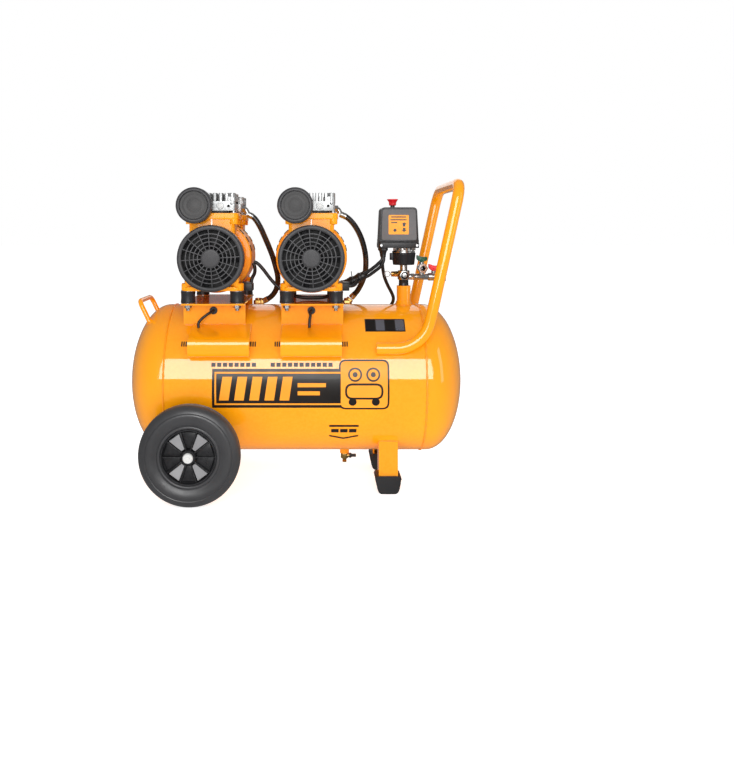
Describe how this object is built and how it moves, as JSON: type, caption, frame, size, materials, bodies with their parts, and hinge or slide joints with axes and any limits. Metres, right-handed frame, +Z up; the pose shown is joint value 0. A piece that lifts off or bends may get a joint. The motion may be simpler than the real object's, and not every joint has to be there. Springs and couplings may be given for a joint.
{
  "type": "air compressor",
  "caption": "Twin-motor oil-free air compressor on a horizontal tank with two wheels, two rubber feet, a push handle and a pressure switch.",
  "frame": {"origin": "on the floor under the middle of the tank", "axes": "+X along the tank towards the push handle, -Y to the front, +Z up"},
  "size_m": [0.702, 0.5795, 0.6439],
  "materials": {
    "orange_paint": "gloss",
    "pump_paint": "satin",
    "capacitor_case": "matte",
    "mount_rubber": "matte",
    "zinc_steel": "satin",
    "white_cap": "gloss",
    "tyre_rubber": "matte",
    "hub_plastic": "satin",
    "foot_rubber": "matte",
    "dark_pipe": "satin",
    "nickel_fittings": "polished",
    "black_plastic": "satin",
    "grey_plastic": "satin",
    "diaphragm_metal": "satin",
    "red_plastic": "gloss",
    "green_plastic": "gloss",
    "brass": "polished",
    "cable_jacket": "satin",
    "lamination_steel": "satin",
    "copper_wire": "satin",
    "bearing_steel": "polished",
    "cast_aluminium": "cast",
    "gasket_black": "matte",
    "guard_plastic": "satin",
    "hose_rubber": "gloss"
  },
  "bodies": {
    "compressor": {"tank_shell": "orange_paint", "tank_heads": "orange_paint", "tank_sockets": "orange_paint", "saddle_plates": "orange_paint", "capacitor_covers": "orange_paint", "capacitors": "capacitor_case", "rubber_mounts": "mount_rubber", "mount_bolts": "zinc_steel", "axle_brackets": "orange_paint", "wheel_bolts": "zinc_steel", "axle_caps": "white_cap", "legs": "orange_paint", "rubber_feet": "foot_rubber", "main_handle": "orange_paint", "carry_handle": "orange_paint", "post_pipe": "dark_pipe", "manifold": "nickel_fittings", "switch_base": "black_plastic", "switch_cover": "grey_plastic", "switch_diaphragm": "diaphragm_metal", "cable_glands": "black_plastic", "safety_valve": "brass", "outlet_valves": "brass", "drain_valve": "brass", "check_valves": "brass", "motor_leads": "cable_jacket", "mains_lead": "cable_jacket", "mains_coil": "cable_jacket", "mains_plug": "black_plastic", "motor_housing_1": "pump_paint", "motor_housing_2": "pump_paint", "crankcases": "pump_paint", "stator_cores": "lamination_steel", "windings": "copper_wire", "bearings": "bearing_steel", "cylinder_sleeves": "cast_aluminium", "valve_plates": "gasket_black", "cylinder_heads": "cast_aluminium", "crossover_tubes": "cast_aluminium", "air_filters": "grey_plastic", "fan_guards": "guard_plastic", "terminal_boxes": "black_plastic", "delivery_hoses": "hose_rubber"},
    "front_wheel": {"front_tyre": "tyre_rubber", "front_hub": "hub_plastic"},
    "rear_wheel": {"rear_tyre": "tyre_rubber", "rear_hub": "hub_plastic"},
    "left_rotor": {"rotor_1": "bearing_steel", "fans_1": "black_plastic"},
    "right_rotor": {"rotor_2": "bearing_steel", "fans_2": "black_plastic"},
    "left_front_piston": {"piston_front_1": "cast_aluminium"},
    "left_rear_piston": {"piston_rear_1": "cast_aluminium"},
    "right_front_piston": {"piston_front_2": "cast_aluminium"},
    "right_rear_piston": {"piston_rear_2": "cast_aluminium"},
    "knob": {"switch_knob": "red_plastic"},
    "safety_pull": {"safety_ring": "zinc_steel"},
    "green_tap": {"green_lever": "green_plastic"},
    "red_tap": {"red_lever": "red_plastic"},
    "drain_tap": {"drain_lever": "black_plastic"}
  },
  "joints": [
    {"name": "front_wheel_spin", "type": "hinge", "parent": "compressor", "child": "front_wheel", "pos_m": [-0.205, -0.182, 0.1], "axis": [0, 1, 0], "continuous": true},
    {"name": "rear_wheel_spin", "type": "hinge", "parent": "compressor", "child": "rear_wheel", "pos_m": [-0.205, 0.182, 0.1], "axis": [0, 1, 0], "continuous": true},
    {"name": "left_rotor_spin", "type": "hinge", "parent": "compressor", "child": "left_rotor", "pos_m": [-0.169, 0, 0.482], "axis": [0, 1, 0], "continuous": true},
    {"name": "left_front_piston_stroke", "type": "slide", "parent": "compressor", "child": "left_front_piston", "axis": [0, 0, 1], "range_m": [-0.008, 0.008]},
    {"name": "left_rear_piston_stroke", "type": "slide", "parent": "compressor", "child": "left_rear_piston", "axis": [0, 0, 1], "range_m": [-0.008, 0.008]},
    {"name": "right_rotor_spin", "type": "hinge", "parent": "compressor", "child": "right_rotor", "pos_m": [0.032, 0, 0.482], "axis": [0, 1, 0], "continuous": true},
    {"name": "right_front_piston_stroke", "type": "slide", "parent": "compressor", "child": "right_front_piston", "axis": [0, 0, 1], "range_m": [-0.008, 0.008]},
    {"name": "right_rear_piston_stroke", "type": "slide", "parent": "compressor", "child": "right_rear_piston", "axis": [0, 0, 1], "range_m": [-0.008, 0.008]},
    {"name": "knob_pull", "type": "slide", "parent": "compressor", "child": "knob", "axis": [0, 0, 1], "range_m": [0, 0.007]},
    {"name": "safety_ring_pull", "type": "slide", "parent": "compressor", "child": "safety_pull", "axis": [-1, 0, 0], "range_m": [0, 0.003], "stiffness_N_per_m": 800, "springref_m": -0.002},
    {"name": "green_lever_turn", "type": "hinge", "parent": "compressor", "child": "green_tap", "pos_m": [0.271, 0, 0.457], "axis": [0, 0, 1], "range_deg": [0, 90]},
    {"name": "red_lever_turn", "type": "hinge", "parent": "compressor", "child": "red_tap", "pos_m": [0.297, 0, 0.438], "axis": [0, 0, 1], "range_deg": [0, 90]},
    {"name": "drain_lever_turn", "type": "hinge", "parent": "compressor", "child": "drain_tap", "pos_m": [0.1035, 0, 0.05], "axis": [1, 0, 0], "range_deg": [0, 90]}
  ]
}
